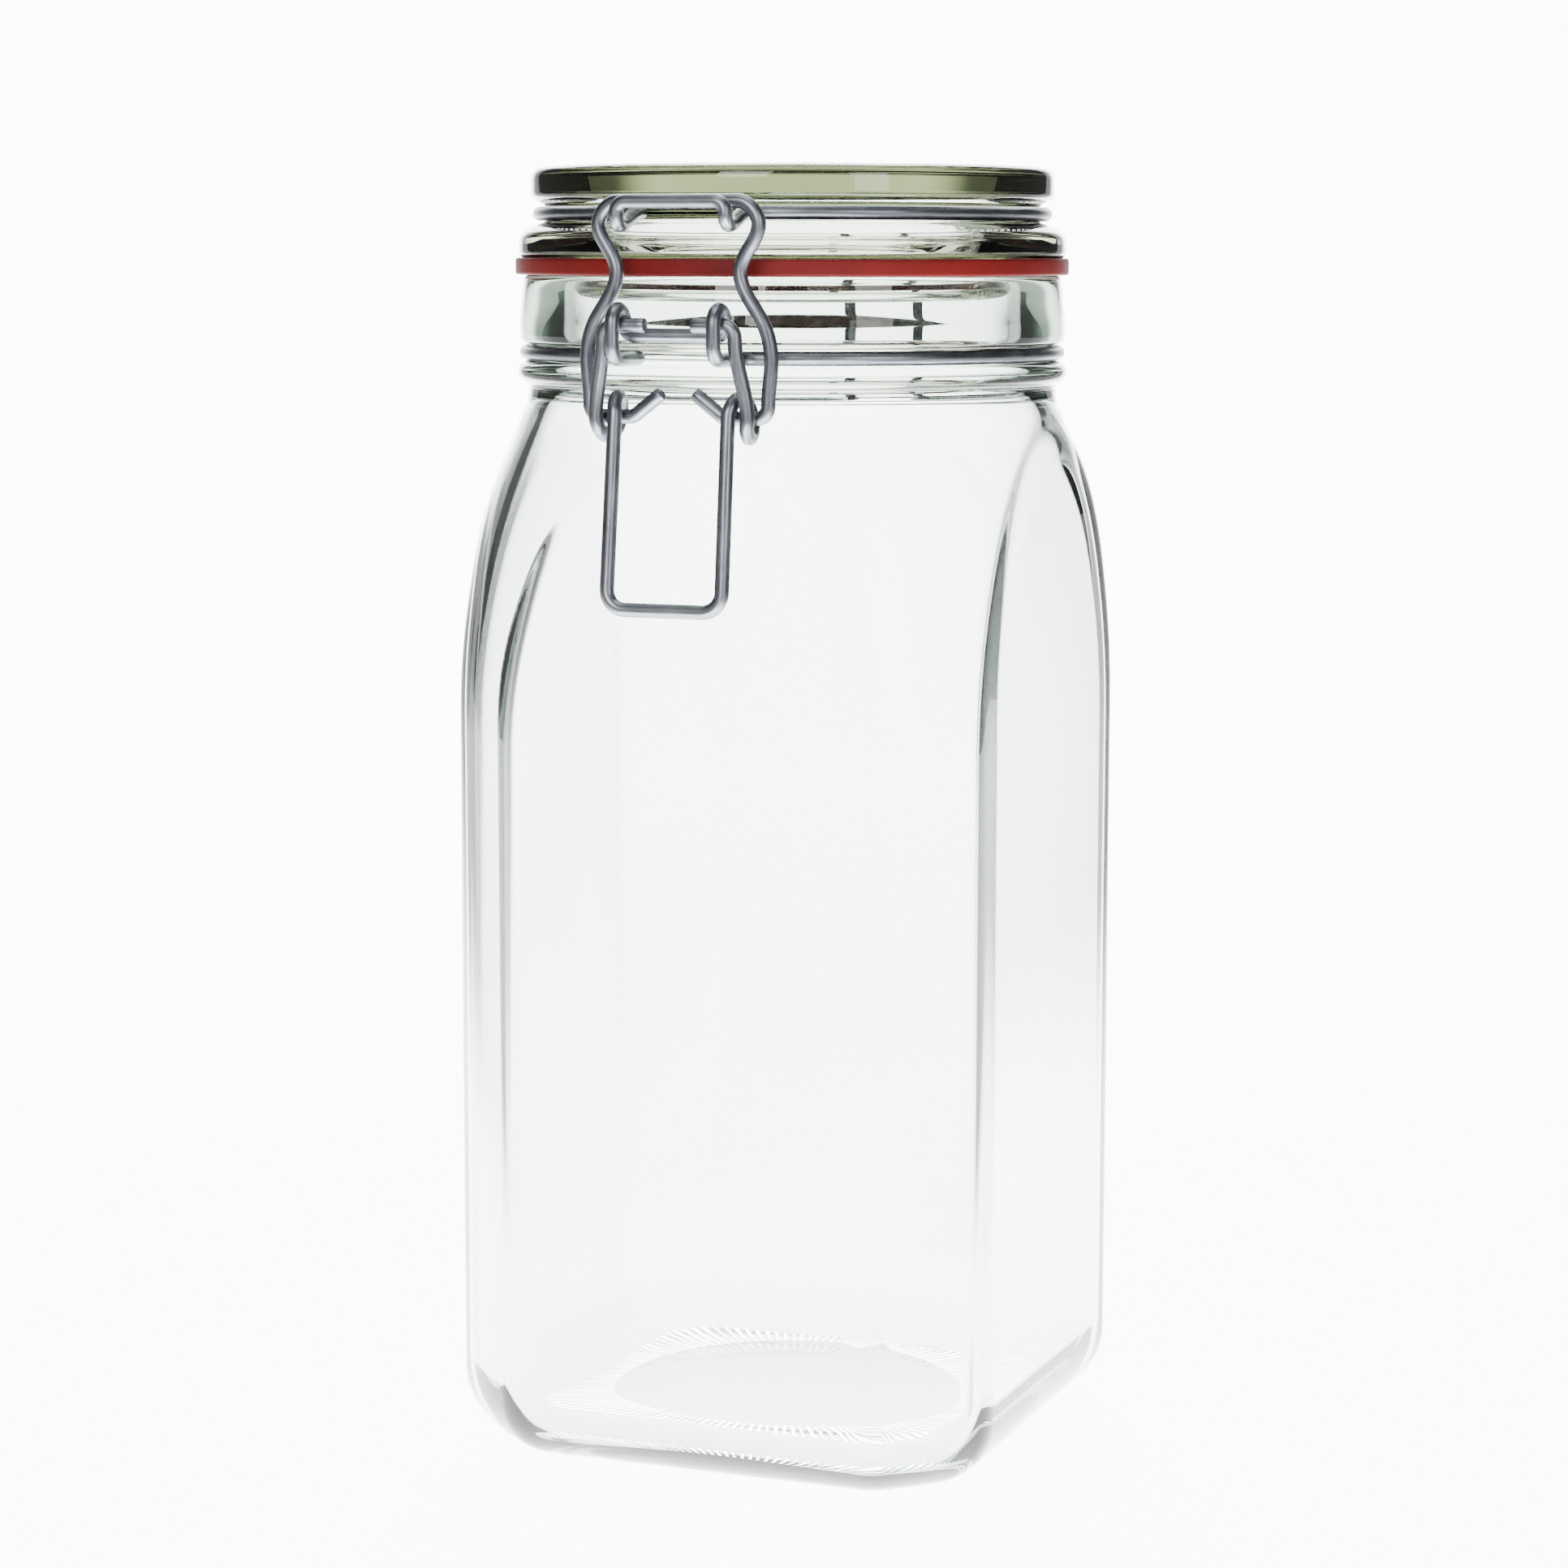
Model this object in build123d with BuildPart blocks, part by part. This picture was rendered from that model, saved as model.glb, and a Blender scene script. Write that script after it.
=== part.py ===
from build123d import *
from math import asin, atan2, cos, degrees, hypot, radians, sin, sqrt
import os

os.makedirs("parts", exist_ok=True)

# Square clip-top storage jar, about 1.5 litres. Millimetres.
# The jar stands on Z = 0 with its mouth up; the clamp faces -Y and the hinge +Y.

# glass body
BODY_WIDTH = 98.1
BODY_RADIUS = 59.3
HEEL_RADIUS = 13.0
WALL = 3.5
FLOOR_THICKNESS = 6.0
FLOOR_RADIUS = 9.0
PUSH_UP = 2.2
PUSH_UP_RADIUS = 31.0
SHOULDER_START_Z = 128.0
NECK_Z = 185.2
NECK_RADIUS = 46.1
BEAD_Z = 188.1
BEAD_RADIUS = 48.0
RIM_LOWER_Z = 193.0
RIM_TOP_Z = 204.7
RIM_RADIUS = 47.0
MOUTH_RADIUS = 40.0

# lid and gasket
GASKET_OUTER = 48.25
GASKET_INNER = 38.7
GASKET_THICKNESS = 2.9
GASKET_GAP = 0.05
LID_FLANGE_RADIUS = 47.75
LID_TOP_RADIUS = 45.6
LID_TOP_Z = 223.2
LID_GROOVE_RADIUS = 42.75
PLUG_RADIUS = 38.4
PLUG_DEPTH = 7.6
RIB_COUNT = 118
FLUTE_RADIUS = 0.8

# wire parts
WIRE = 2.4
NECK_WIRE_Z = 191.4
NECK_WIRE_RADIUS = 46.35
LID_WIRE_Z = 215.2
LID_WIRE_RADIUS = 44.0
STRAND_BEND = 3.0

# front clamp
PIVOT_Y, PIVOT_Z = -55.4, 196.9
COIL_Y, COIL_Z = -51.2, 181.9
COIL_RADIUS = 3.2
COIL_OUTER_X, COIL_INNER_X = 13.4, 10.0
EYE_RADIUS = 2.6
EYE_X = 8.9
EYE_BAR_Z = 195.2
ARM_X = 11.6
PIN_END_X = 4.1
HANDLE_Y, HANDLE_Z = -57.8, 150.6
HANDLE_X = 10.2
HANDLE_CORNER = 3.3
HOOK_Y, HOOK_Z = -54.6, 216.9
HOOK_X = 9.6
HOOK_LOW_Z = 213.15
BAIL_Y, BAIL_Z = -51.3, 216.95

# rear hinge
HINGE_Y, HINGE_Z = 57.4, 204.5
HINGE_EYE_X = 8.0
HINGE_STRAND_X = 11.5
HINGE_PIN_END_X = 4.0

GASKET_Z = RIM_TOP_Z + GASKET_GAP
FLANGE_Z = GASKET_Z + GASKET_THICKNESS


def strand_bend(ring_radius, strand_x, side):
    """Where a strand at -strand_x, running along Y, bends onto a wire ring.

    side is -1 at the front and +1 at the rear. Returns the bend's start, middle and
    end in plan: start lies on the strand and end lies on the ring.
    """
    centre_x = strand_x + STRAND_BEND
    centre_y = sqrt((ring_radius + STRAND_BEND) ** 2 - centre_x**2)
    turn = atan2(centre_y, centre_x) / 2
    start = (-strand_x, side * centre_y)
    middle = (
        -centre_x + STRAND_BEND * cos(turn),
        side * (centre_y - STRAND_BEND * sin(turn)),
    )
    reach = ring_radius / (ring_radius + STRAND_BEND)
    end = (-centre_x * reach, side * centre_y * reach)
    return start, middle, end


# ---------------------------------------------------------------- glass jar
def square_block(width, low, high, edge_radius):
    """A square block from low to high with its four bottom edges rounded, mitred at the corners."""
    with BuildPart() as block:
        for plane, mode in ((Plane.XZ, Mode.ADD), (Plane.YZ, Mode.INTERSECT)):
            with BuildSketch(plane):
                with BuildLine():
                    FilletPolyline(
                        (0, low), (width / 2, low), (width / 2, high), radius=edge_radius
                    )
                    Polyline((width / 2, high), (0, high), (0, low))
                make_face()
                mirror(about=Plane.YZ)
            extrude(amount=width / 2, both=True, mode=mode)
    return block.part


# inside: a square block cut by a round one that closes to the mouth
INNER_RADIUS = BODY_RADIUS - WALL
with BuildPart() as cavity:
    add(square_block(BODY_WIDTH - 2 * WALL, FLOOR_THICKNESS, RIM_TOP_Z + 5, FLOOR_RADIUS))
    with BuildSketch(Plane.XZ):
        with BuildLine():
            FilletPolyline(
                (0, FLOOR_THICKNESS),
                (INNER_RADIUS, FLOOR_THICKNESS),
                (INNER_RADIUS, SHOULDER_START_Z - 2),
                radius=FLOOR_RADIUS,
            )
            Spline(
                (INNER_RADIUS, SHOULDER_START_Z - 2),
                (54.9, 140.0),
                (53.3, 149.5),
                (50.7, 160.5),
                (46.8, 171.8),
                (43.9, 179.0),
                (41.6, 186.5),
                (MOUTH_RADIUS, 195.0),
                tangents=((0, 1), (0, 1)),
                tangent_scalars=(1, 1),
            )
            Polyline(
                (MOUTH_RADIUS, 195.0),
                (MOUTH_RADIUS, RIM_TOP_Z - 1.0),
                (MOUTH_RADIUS + 1.0, RIM_TOP_Z),
                (MOUTH_RADIUS + 1.0, RIM_TOP_Z + 5),
                (0, RIM_TOP_Z + 5),
                (0, FLOOR_THICKNESS),
            )
        make_face()
    revolve(axis=Axis.Z, mode=Mode.INTERSECT)
    # low dome in the floor
    with BuildSketch(Plane.XZ):
        with BuildLine():
            Line((0, 0), (34, 0))
            Line((34, 0), (34, FLOOR_THICKNESS))
            Spline(
                (34, FLOOR_THICKNESS),
                (18, FLOOR_THICKNESS + 1.7),
                (0, FLOOR_THICKNESS + 2.4),
                tangents=((-1, 0.05), (-1, 0)),
                tangent_scalars=(1, 1),
            )
            Line((0, FLOOR_THICKNESS + 2.4), (0, 0))
        make_face()
    revolve(axis=Axis.Z, mode=Mode.SUBTRACT)

with BuildPart() as jar_glass:
    # outside: flat sides that end in arches where the round corners and shoulder cut them
    add(square_block(BODY_WIDTH, 0, RIM_TOP_Z, HEEL_RADIUS))
    with BuildSketch(Plane.XZ):
        with BuildLine():
            FilletPolyline(
                (0, 0), (BODY_RADIUS, 0), (BODY_RADIUS, SHOULDER_START_Z), radius=HEEL_RADIUS
            )
            Spline(
                (BODY_RADIUS, SHOULDER_START_Z),
                (58.7, 140.0),
                (57.1, 150.5),
                (54.5, 162.1),
                (50.4, 173.6),
                (47.8, 179.3),
                (NECK_RADIUS, NECK_Z),
                tangents=((0, 1), (0, 1)),
                tangent_scalars=(1, 1),
            )
            Line((NECK_RADIUS, NECK_Z), (NECK_RADIUS, BEAD_Z - 1.9))
            ThreePointArc(
                (NECK_RADIUS, BEAD_Z - 1.9), (BEAD_RADIUS, BEAD_Z), (NECK_RADIUS, BEAD_Z + 1.9)
            )
            Polyline(
                (NECK_RADIUS, BEAD_Z + 1.9),
                (NECK_WIRE_RADIUS - WIRE / 2 - 0.02, BEAD_Z + 2.1),
                (NECK_WIRE_RADIUS - WIRE / 2 - 0.02, RIM_LOWER_Z),
                (RIM_RADIUS + 0.3, RIM_LOWER_Z),
            )
            Spline(
                (RIM_RADIUS + 0.3, RIM_LOWER_Z),
                (RIM_RADIUS + 0.7, RIM_LOWER_Z + 2.4),
                (RIM_RADIUS + 0.35, RIM_LOWER_Z + 6.5),
                (RIM_RADIUS, RIM_TOP_Z - 1.2),
            )
            Polyline((RIM_RADIUS, RIM_TOP_Z - 1.2), (RIM_RADIUS - 1.2, RIM_TOP_Z), (0, RIM_TOP_Z), (0, 0))
        make_face()
    revolve(axis=Axis.Z, mode=Mode.INTERSECT)

    add(cavity.part, mode=Mode.SUBTRACT)

    # hollow underside, leaving the ring the jar stands on
    with BuildSketch(Plane.XZ):
        with BuildLine():
            Line((0, -1), (PUSH_UP_RADIUS, -1))
            Line((PUSH_UP_RADIUS, -1), (PUSH_UP_RADIUS, 0))
            Spline(
                (PUSH_UP_RADIUS, 0),
                (PUSH_UP_RADIUS * 0.55, PUSH_UP * 0.7),
                (0, PUSH_UP),
                tangents=((-1, 0.3), (-1, 0)),
                tangent_scalars=(1, 1),
            )
            Line((0, PUSH_UP), (0, -1))
        make_face()
    revolve(axis=Axis.Z, mode=Mode.SUBTRACT)
jar_glass.part.label = "jar_glass"

# ---------------------------------------------------------------- glass lid
with BuildPart() as lid_glass:
    with BuildSketch(Plane.XZ):
        with BuildLine():
            # underside: a plug ring that centres the gasket, hollow in the middle
            Polyline(
                (0, 214.0),
                (24, 213.4),
                (33.3, 210.0),
                (34.6, FLANGE_Z - PLUG_DEPTH + 1.5),
                (35.6, FLANGE_Z - PLUG_DEPTH),
                (PLUG_RADIUS - 1.2, FLANGE_Z - PLUG_DEPTH),
                (PLUG_RADIUS, FLANGE_Z - PLUG_DEPTH + 1.2),
                (PLUG_RADIUS, FLANGE_Z),
                (LID_FLANGE_RADIUS - 0.6, FLANGE_Z),
                (LID_FLANGE_RADIUS, FLANGE_Z + 0.7),
                (LID_FLANGE_RADIUS, FLANGE_Z + 2.2),
            )
            # lower flange shoulder and the groove for the wire
            ThreePointArc(
                (LID_FLANGE_RADIUS, FLANGE_Z + 2.2),
                (LID_FLANGE_RADIUS - 0.7, FLANGE_Z + 4.4),
                (LID_FLANGE_RADIUS - 2.6, FLANGE_Z + 5.6),
            )
            Polyline(
                (LID_FLANGE_RADIUS - 2.6, FLANGE_Z + 5.6),
                (LID_GROOVE_RADIUS + 0.6, LID_WIRE_Z - 1.55),
                (LID_GROOVE_RADIUS, LID_WIRE_Z - 1.0),
                (LID_GROOVE_RADIUS, LID_WIRE_Z + 1.0),
                (LID_GROOVE_RADIUS + 0.6, LID_WIRE_Z + 1.7),
                (LID_TOP_RADIUS - 0.9, LID_WIRE_Z + 2.1),
                (LID_TOP_RADIUS, LID_WIRE_Z + 3.0),
                (LID_TOP_RADIUS, LID_TOP_Z - 1.7),
            )
            # rounded top edge and a shallow dished top
            ThreePointArc(
                (LID_TOP_RADIUS, LID_TOP_Z - 1.7),
                (LID_TOP_RADIUS - 0.5, LID_TOP_Z - 0.5),
                (LID_TOP_RADIUS - 1.7, LID_TOP_Z),
            )
            Polyline(
                (LID_TOP_RADIUS - 1.7, LID_TOP_Z),
                (38.4, LID_TOP_Z + 0.2),
                (36.6, LID_TOP_Z - 1.2),
                (0, LID_TOP_Z - 0.8),
                (0, 214.0),
            )
        make_face()
    revolve(axis=Axis.Z)
    # short flutes across the top edge leave a ring of ribs
    with Locations((0, 0, LID_TOP_Z + 0.4)):
        with PolarLocations(41.2, RIB_COUNT):
            Cylinder(FLUTE_RADIUS, 4.4, rotation=(0, 90, 0), mode=Mode.SUBTRACT)
lid_glass.part.label = "lid_glass"

# ---------------------------------------------------------------- rubber gasket
with BuildPart() as gasket:
    with BuildSketch(Plane.XY.offset(GASKET_Z)):
        Circle(GASKET_OUTER)
        Circle(GASKET_INNER, mode=Mode.SUBTRACT)
    extrude(amount=GASKET_THICKNESS)
    outer_edges = gasket.edges().filter_by(GeomType.CIRCLE).sort_by(SortBy.RADIUS)[-2:]
    fillet(outer_edges, 0.6)
gasket.part.label = "gasket"

# ---------------------------------------------------------------- wire in the lid groove
front = strand_bend(LID_WIRE_RADIUS, HOOK_X, -1)
rear = strand_bend(LID_WIRE_RADIUS, HINGE_STRAND_X, 1)
HOOK_CORNER = 1.9
HOOK_TURN = 1.7
with BuildPart() as lid_ring:
    with BuildLine() as lid_ring_path:
        # hook bar, turned down at its end and back under the bail
        Line((0, HOOK_Y, HOOK_Z), (HOOK_CORNER - HOOK_X, HOOK_Y, HOOK_Z))
        ThreePointArc(
            (HOOK_CORNER - HOOK_X, HOOK_Y, HOOK_Z),
            (
                HOOK_CORNER * (1 - sin(radians(45))) - HOOK_X,
                HOOK_Y,
                HOOK_Z - HOOK_CORNER * (1 - cos(radians(45))),
            ),
            (-HOOK_X, HOOK_Y, HOOK_Z - HOOK_CORNER),
        )
        ThreePointArc(
            (-HOOK_X, HOOK_Y, HOOK_Z - HOOK_CORNER),
            (
                -HOOK_X,
                HOOK_Y + HOOK_TURN * (1 - cos(radians(45))),
                HOOK_LOW_Z + HOOK_TURN * (1 - sin(radians(45))),
            ),
            (-HOOK_X, HOOK_Y + HOOK_TURN, HOOK_LOW_Z),
        )
        Spline(
            (-HOOK_X, HOOK_Y + HOOK_TURN, HOOK_LOW_Z),
            (*front[0], LID_WIRE_Z),
            tangents=((0, 1, 0), (0, 1, 0)),
            tangent_scalars=(1, 1),
        )
        # round the lid
        ThreePointArc((*front[0], LID_WIRE_Z), (*front[1], LID_WIRE_Z), (*front[2], LID_WIRE_Z))
        ThreePointArc(
            (*front[2], LID_WIRE_Z), (-LID_WIRE_RADIUS, 0, LID_WIRE_Z), (*rear[2], LID_WIRE_Z)
        )
        ThreePointArc((*rear[2], LID_WIRE_Z), (*rear[1], LID_WIRE_Z), (*rear[0], LID_WIRE_Z))
        # back and down to the hinge, ending in an inward pin
        FilletPolyline(
            (*rear[0], LID_WIRE_Z),
            (-HINGE_STRAND_X, HINGE_Y, LID_WIRE_Z),
            (-HINGE_STRAND_X, HINGE_Y, HINGE_Z),
            (-HINGE_PIN_END_X, HINGE_Y, HINGE_Z),
            radius=2.2,
        )
    with BuildSketch(Plane(origin=(0, HOOK_Y, HOOK_Z), z_dir=(-1, 0, 0))):
        Circle(WIRE / 2)
    sweep(path=lid_ring_path.line)
    mirror(about=Plane.YZ)
lid_ring.part.label = "lid_ring"

# ---------------------------------------------------------------- wire in the neck groove
front = strand_bend(NECK_WIRE_RADIUS, EYE_X, -1)
rear = strand_bend(NECK_WIRE_RADIUS, HINGE_EYE_X, 1)
EYE_TURN = 1.7
EYE_FOOT = 2.5
HINGE_FOOT = 4.0
eye_back_y = PIVOT_Y + EYE_RADIUS
eye_front_y = PIVOT_Y - EYE_RADIUS
hinge_rise_y = HINGE_Y - EYE_RADIUS
with BuildPart() as neck_ring:
    with BuildLine() as neck_ring_path:
        # bar that joins the two front eyes
        Line((0, eye_back_y, EYE_BAR_Z), (EYE_TURN - EYE_X, eye_back_y, EYE_BAR_Z))
        ThreePointArc(
            (EYE_TURN - EYE_X, eye_back_y, EYE_BAR_Z),
            (
                EYE_TURN * (1 - sin(radians(45))) - EYE_X,
                eye_back_y,
                EYE_BAR_Z + EYE_TURN * (1 - cos(radians(45))),
            ),
            (-EYE_X, eye_back_y, EYE_BAR_Z + EYE_TURN),
        )
        # front eye, open at the bottom behind the lever's pin
        ThreePointArc(
            (-EYE_X, eye_back_y, PIVOT_Z),
            (-EYE_X, PIVOT_Y, PIVOT_Z + EYE_RADIUS),
            (-EYE_X, eye_front_y, PIVOT_Z),
        )
        Line((-EYE_X, eye_front_y, PIVOT_Z), (-EYE_X, eye_front_y, NECK_WIRE_Z + EYE_FOOT))
        ThreePointArc(
            (-EYE_X, eye_front_y, NECK_WIRE_Z + EYE_FOOT),
            (
                -EYE_X,
                eye_front_y + EYE_FOOT * (1 - cos(radians(45))),
                NECK_WIRE_Z + EYE_FOOT * (1 - sin(radians(45))),
            ),
            (-EYE_X, eye_front_y + EYE_FOOT, NECK_WIRE_Z),
        )
        Line((-EYE_X, eye_front_y + EYE_FOOT, NECK_WIRE_Z), (*front[0], NECK_WIRE_Z))
        # round the neck
        ThreePointArc((*front[0], NECK_WIRE_Z), (*front[1], NECK_WIRE_Z), (*front[2], NECK_WIRE_Z))
        ThreePointArc(
            (*front[2], NECK_WIRE_Z), (-NECK_WIRE_RADIUS, 0, NECK_WIRE_Z), (*rear[2], NECK_WIRE_Z)
        )
        ThreePointArc((*rear[2], NECK_WIRE_Z), (*rear[1], NECK_WIRE_Z), (*rear[0], NECK_WIRE_Z))
        # up to the hinge eye
        Line((*rear[0], NECK_WIRE_Z), (-HINGE_EYE_X, hinge_rise_y - HINGE_FOOT, NECK_WIRE_Z))
        ThreePointArc(
            (-HINGE_EYE_X, hinge_rise_y - HINGE_FOOT, NECK_WIRE_Z),
            (
                -HINGE_EYE_X,
                hinge_rise_y - HINGE_FOOT * (1 - sin(radians(45))),
                NECK_WIRE_Z + HINGE_FOOT * (1 - cos(radians(45))),
            ),
            (-HINGE_EYE_X, hinge_rise_y, NECK_WIRE_Z + HINGE_FOOT),
        )
        Line(
            (-HINGE_EYE_X, hinge_rise_y, NECK_WIRE_Z + HINGE_FOOT),
            (-HINGE_EYE_X, hinge_rise_y, HINGE_Z),
        )
        ThreePointArc(
            (-HINGE_EYE_X, hinge_rise_y, HINGE_Z),
            (-HINGE_EYE_X, HINGE_Y, HINGE_Z + EYE_RADIUS),
            (-HINGE_EYE_X, HINGE_Y + EYE_RADIUS, HINGE_Z),
        )
        ThreePointArc(
            (-HINGE_EYE_X, HINGE_Y + EYE_RADIUS, HINGE_Z),
            (
                -HINGE_EYE_X,
                HINGE_Y + EYE_RADIUS * cos(radians(45)),
                HINGE_Z - EYE_RADIUS * sin(radians(45)),
            ),
            (-HINGE_EYE_X, HINGE_Y, HINGE_Z - EYE_RADIUS),
        )
    with BuildSketch(Plane(origin=(0, eye_back_y, EYE_BAR_Z), z_dir=(-1, 0, 0))):
        Circle(WIRE / 2)
    sweep(path=neck_ring_path.line)
    mirror(about=Plane.YZ)
neck_ring.part.label = "neck_ring"

# ---------------------------------------------------------------- lever
# the handle leaves the coil along the tangent that meets its bottom bar
drop_y, drop_z = COIL_Y - HANDLE_Y, COIL_Z - HANDLE_Z
lean = degrees(atan2(drop_y, drop_z)) - degrees(asin(COIL_RADIUS / hypot(drop_y, drop_z)))
coil_end = 360 - lean
coil_points = [
    (
        -COIL_OUTER_X + (COIL_OUTER_X - COIL_INNER_X) * turn / coil_end,
        COIL_Y - COIL_RADIUS * cos(radians(turn)),
        COIL_Z - COIL_RADIUS * sin(radians(turn)),
    )
    for turn in [coil_end * step / 12 for step in range(13)]
]
ARM_BEND = 2.0
with BuildPart() as lever:
    with BuildLine() as lever_path:
        # pin through the neck ring's eye, turned down into the arm
        Line((-PIN_END_X, PIVOT_Y, PIVOT_Z), (ARM_BEND - ARM_X, PIVOT_Y, PIVOT_Z))
        ThreePointArc(
            (ARM_BEND - ARM_X, PIVOT_Y, PIVOT_Z),
            (
                ARM_BEND * (1 - sin(radians(45))) - ARM_X,
                PIVOT_Y,
                PIVOT_Z - ARM_BEND * (1 - cos(radians(45))),
            ),
            (-ARM_X, PIVOT_Y, PIVOT_Z - ARM_BEND),
        )
        Spline(
            (-ARM_X, PIVOT_Y, PIVOT_Z - ARM_BEND),
            coil_points[0],
            tangents=((0, 0, -1), (0, 0, -1)),
            tangent_scalars=(1, 1),
        )
        # one turn of coil, then the handle
        Spline(
            *coil_points,
            tangents=((0, 0, -1), (0, -sin(radians(lean)), -cos(radians(lean)))),
            tangent_scalars=(1, 1),
        )
        FilletPolyline(
            coil_points[-1],
            (-HANDLE_X, HANDLE_Y, HANDLE_Z),
            (0, HANDLE_Y, HANDLE_Z),
            radius=HANDLE_CORNER,
        )
    with BuildSketch(Plane(origin=(-PIN_END_X, PIVOT_Y, PIVOT_Z), z_dir=(-1, 0, 0))):
        Circle(WIRE / 2)
    sweep(path=lever_path.line)
    mirror(about=Plane.YZ)
lever.part.label = "lever"

# ---------------------------------------------------------------- bail
BAIL_CORNER = 2.3
with BuildPart() as bail:
    with BuildLine() as bail_path:
        Line((0, BAIL_Y, BAIL_Z), (-10.6, BAIL_Y, BAIL_Z))
        # shoulder, waist beside the gasket, then wide past the lever arms
        Spline(
            (-10.6, BAIL_Y, BAIL_Z),
            (-14.1, BAIL_Y, BAIL_Z - 3.2),
            (-12.7, BAIL_Y, BAIL_Z - 7.2),
            (-10.9, BAIL_Y, BAIL_Z - 11.2),
            (-11.8, BAIL_Y, BAIL_Z - 14.6),
            (-15.1, BAIL_Y, BAIL_Z - 20.0),
            (-16.3, COIL_Y, BAIL_Z - 25.5),
            (-15.8, COIL_Y, COIL_Z + BAIL_CORNER),
            tangents=((-1, 0, 0), (0, 0, -1)),
            tangent_scalars=(1, 1),
        )
        # pin through the coil, its cut end bent up
        FilletPolyline(
            (-15.8, COIL_Y, COIL_Z + BAIL_CORNER),
            (-15.8, COIL_Y, COIL_Z),
            (-8.0, COIL_Y, COIL_Z),
            (-2.9, COIL_Y, COIL_Z + 3.9),
            radius=2.0,
        )
    with BuildSketch(Plane(origin=(0, BAIL_Y, BAIL_Z), z_dir=(-1, 0, 0))):
        Circle(WIRE / 2)
    sweep(path=bail_path.line)
    mirror(about=Plane.YZ)
bail.part.label = "bail"

for piece in (jar_glass, neck_ring, lid_glass, gasket, lid_ring, lever, bail):
    export_step(piece.part, f"parts/{piece.part.label}.step")
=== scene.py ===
"""Square clip-top storage jar: looks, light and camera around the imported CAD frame."""
import math

import bpy
import numpy as np
from mathutils import Matrix, Vector


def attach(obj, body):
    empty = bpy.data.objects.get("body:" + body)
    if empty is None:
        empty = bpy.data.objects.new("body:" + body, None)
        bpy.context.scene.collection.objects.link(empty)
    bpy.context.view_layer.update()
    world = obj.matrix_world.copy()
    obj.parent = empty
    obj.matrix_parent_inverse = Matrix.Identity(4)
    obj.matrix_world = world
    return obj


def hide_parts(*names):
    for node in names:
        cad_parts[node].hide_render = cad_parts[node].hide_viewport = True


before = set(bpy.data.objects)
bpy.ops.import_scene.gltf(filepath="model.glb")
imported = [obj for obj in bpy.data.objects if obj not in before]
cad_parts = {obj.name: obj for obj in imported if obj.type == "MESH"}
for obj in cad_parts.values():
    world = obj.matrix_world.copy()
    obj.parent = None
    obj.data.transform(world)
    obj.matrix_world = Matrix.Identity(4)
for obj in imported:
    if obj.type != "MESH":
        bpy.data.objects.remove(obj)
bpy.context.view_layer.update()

MM = 0.001

# ------------------------------------------------------------------ camera
AZIMUTH = 21.288  # degrees round the jar from the clamp's face
PITCH = 7.576  # degrees below level
PAN = -0.106
ROLL = 0.094
DISTANCE = 716.04  # level distance from the jar's axis, mm
HEIGHT = 210.28  # above the floor, mm
LENS = 93.446  # for a 36 mm sensor


def make_camera():
    """The camera, placed in a frame turned with the shot and then turned round the jar."""
    data = bpy.data.cameras.new("camera")
    data.sensor_width = 36.0
    data.lens = LENS
    data.clip_start, data.clip_end = 0.01, 20.0
    camera = bpy.data.objects.new("camera", data)
    bpy.context.scene.collection.objects.link(camera)
    bpy.context.scene.camera = camera
    pitch, pan, roll = (math.radians(a) for a in (PITCH, PAN, ROLL))
    forward = Vector(
        (math.sin(pan) * math.cos(pitch), math.cos(pan) * math.cos(pitch), -math.sin(pitch))
    )
    right = Vector((math.cos(pan), -math.sin(pan), 0))
    up = right.cross(forward)
    right, up = (
        math.cos(roll) * right + math.sin(roll) * up,
        -math.sin(roll) * right + math.cos(roll) * up,
    )
    place = Matrix((right, up, -forward)).transposed().to_4x4()
    place.translation = Vector((0, -DISTANCE, HEIGHT)) * MM
    camera.matrix_world = Matrix.Rotation(math.radians(AZIMUTH), 4, "Z") @ place


make_camera()

# ------------------------------------------------------------------ node helpers


def new_material(name):
    """An empty node material; returns it with its nodes, links, shader and output."""
    material = bpy.data.materials.new(name)
    material.use_nodes = True
    nodes = material.node_tree.nodes
    nodes.clear()
    output = nodes.new("ShaderNodeOutputMaterial")
    shader = nodes.new("ShaderNodeBsdfPrincipled")
    material.node_tree.links.new(shader.outputs[0], output.inputs["Surface"])
    return material, nodes, material.node_tree.links, shader, output


def noise(nodes, links, coords, scale, detail=3.0, roughness=0.5, stretch=(1, 1, 1)):
    """Noise over coords, stretched by a scale on each axis; returns its factor output."""
    mapping = nodes.new("ShaderNodeMapping")
    mapping.inputs["Scale"].default_value = stretch
    links.new(coords, mapping.inputs["Vector"])
    texture = nodes.new("ShaderNodeTexNoise")
    texture.inputs["Scale"].default_value = scale
    texture.inputs["Detail"].default_value = detail
    texture.inputs["Roughness"].default_value = roughness
    links.new(mapping.outputs[0], texture.inputs["Vector"])
    return texture.outputs["Fac"]


def ramp(nodes, links, factor, stops):
    """A colour ramp over factor, with stops as (position, (r, g, b))."""
    node = nodes.new("ShaderNodeValToRGB")
    elements = node.color_ramp.elements
    while len(elements) < len(stops):
        elements.new(0.5)
    for element, (position, colour) in zip(elements, stops):
        element.position = position
        element.color = (*colour, 1.0)
    links.new(factor, node.inputs["Fac"])
    return node.outputs["Color"]


def span(nodes, links, factor, low, high):
    """Maps a 0 to 1 factor to low..high."""
    node = nodes.new("ShaderNodeMapRange")
    node.inputs["To Min"].default_value = low
    node.inputs["To Max"].default_value = high
    links.new(factor, node.inputs["Value"])
    return node.outputs["Result"]


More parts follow.
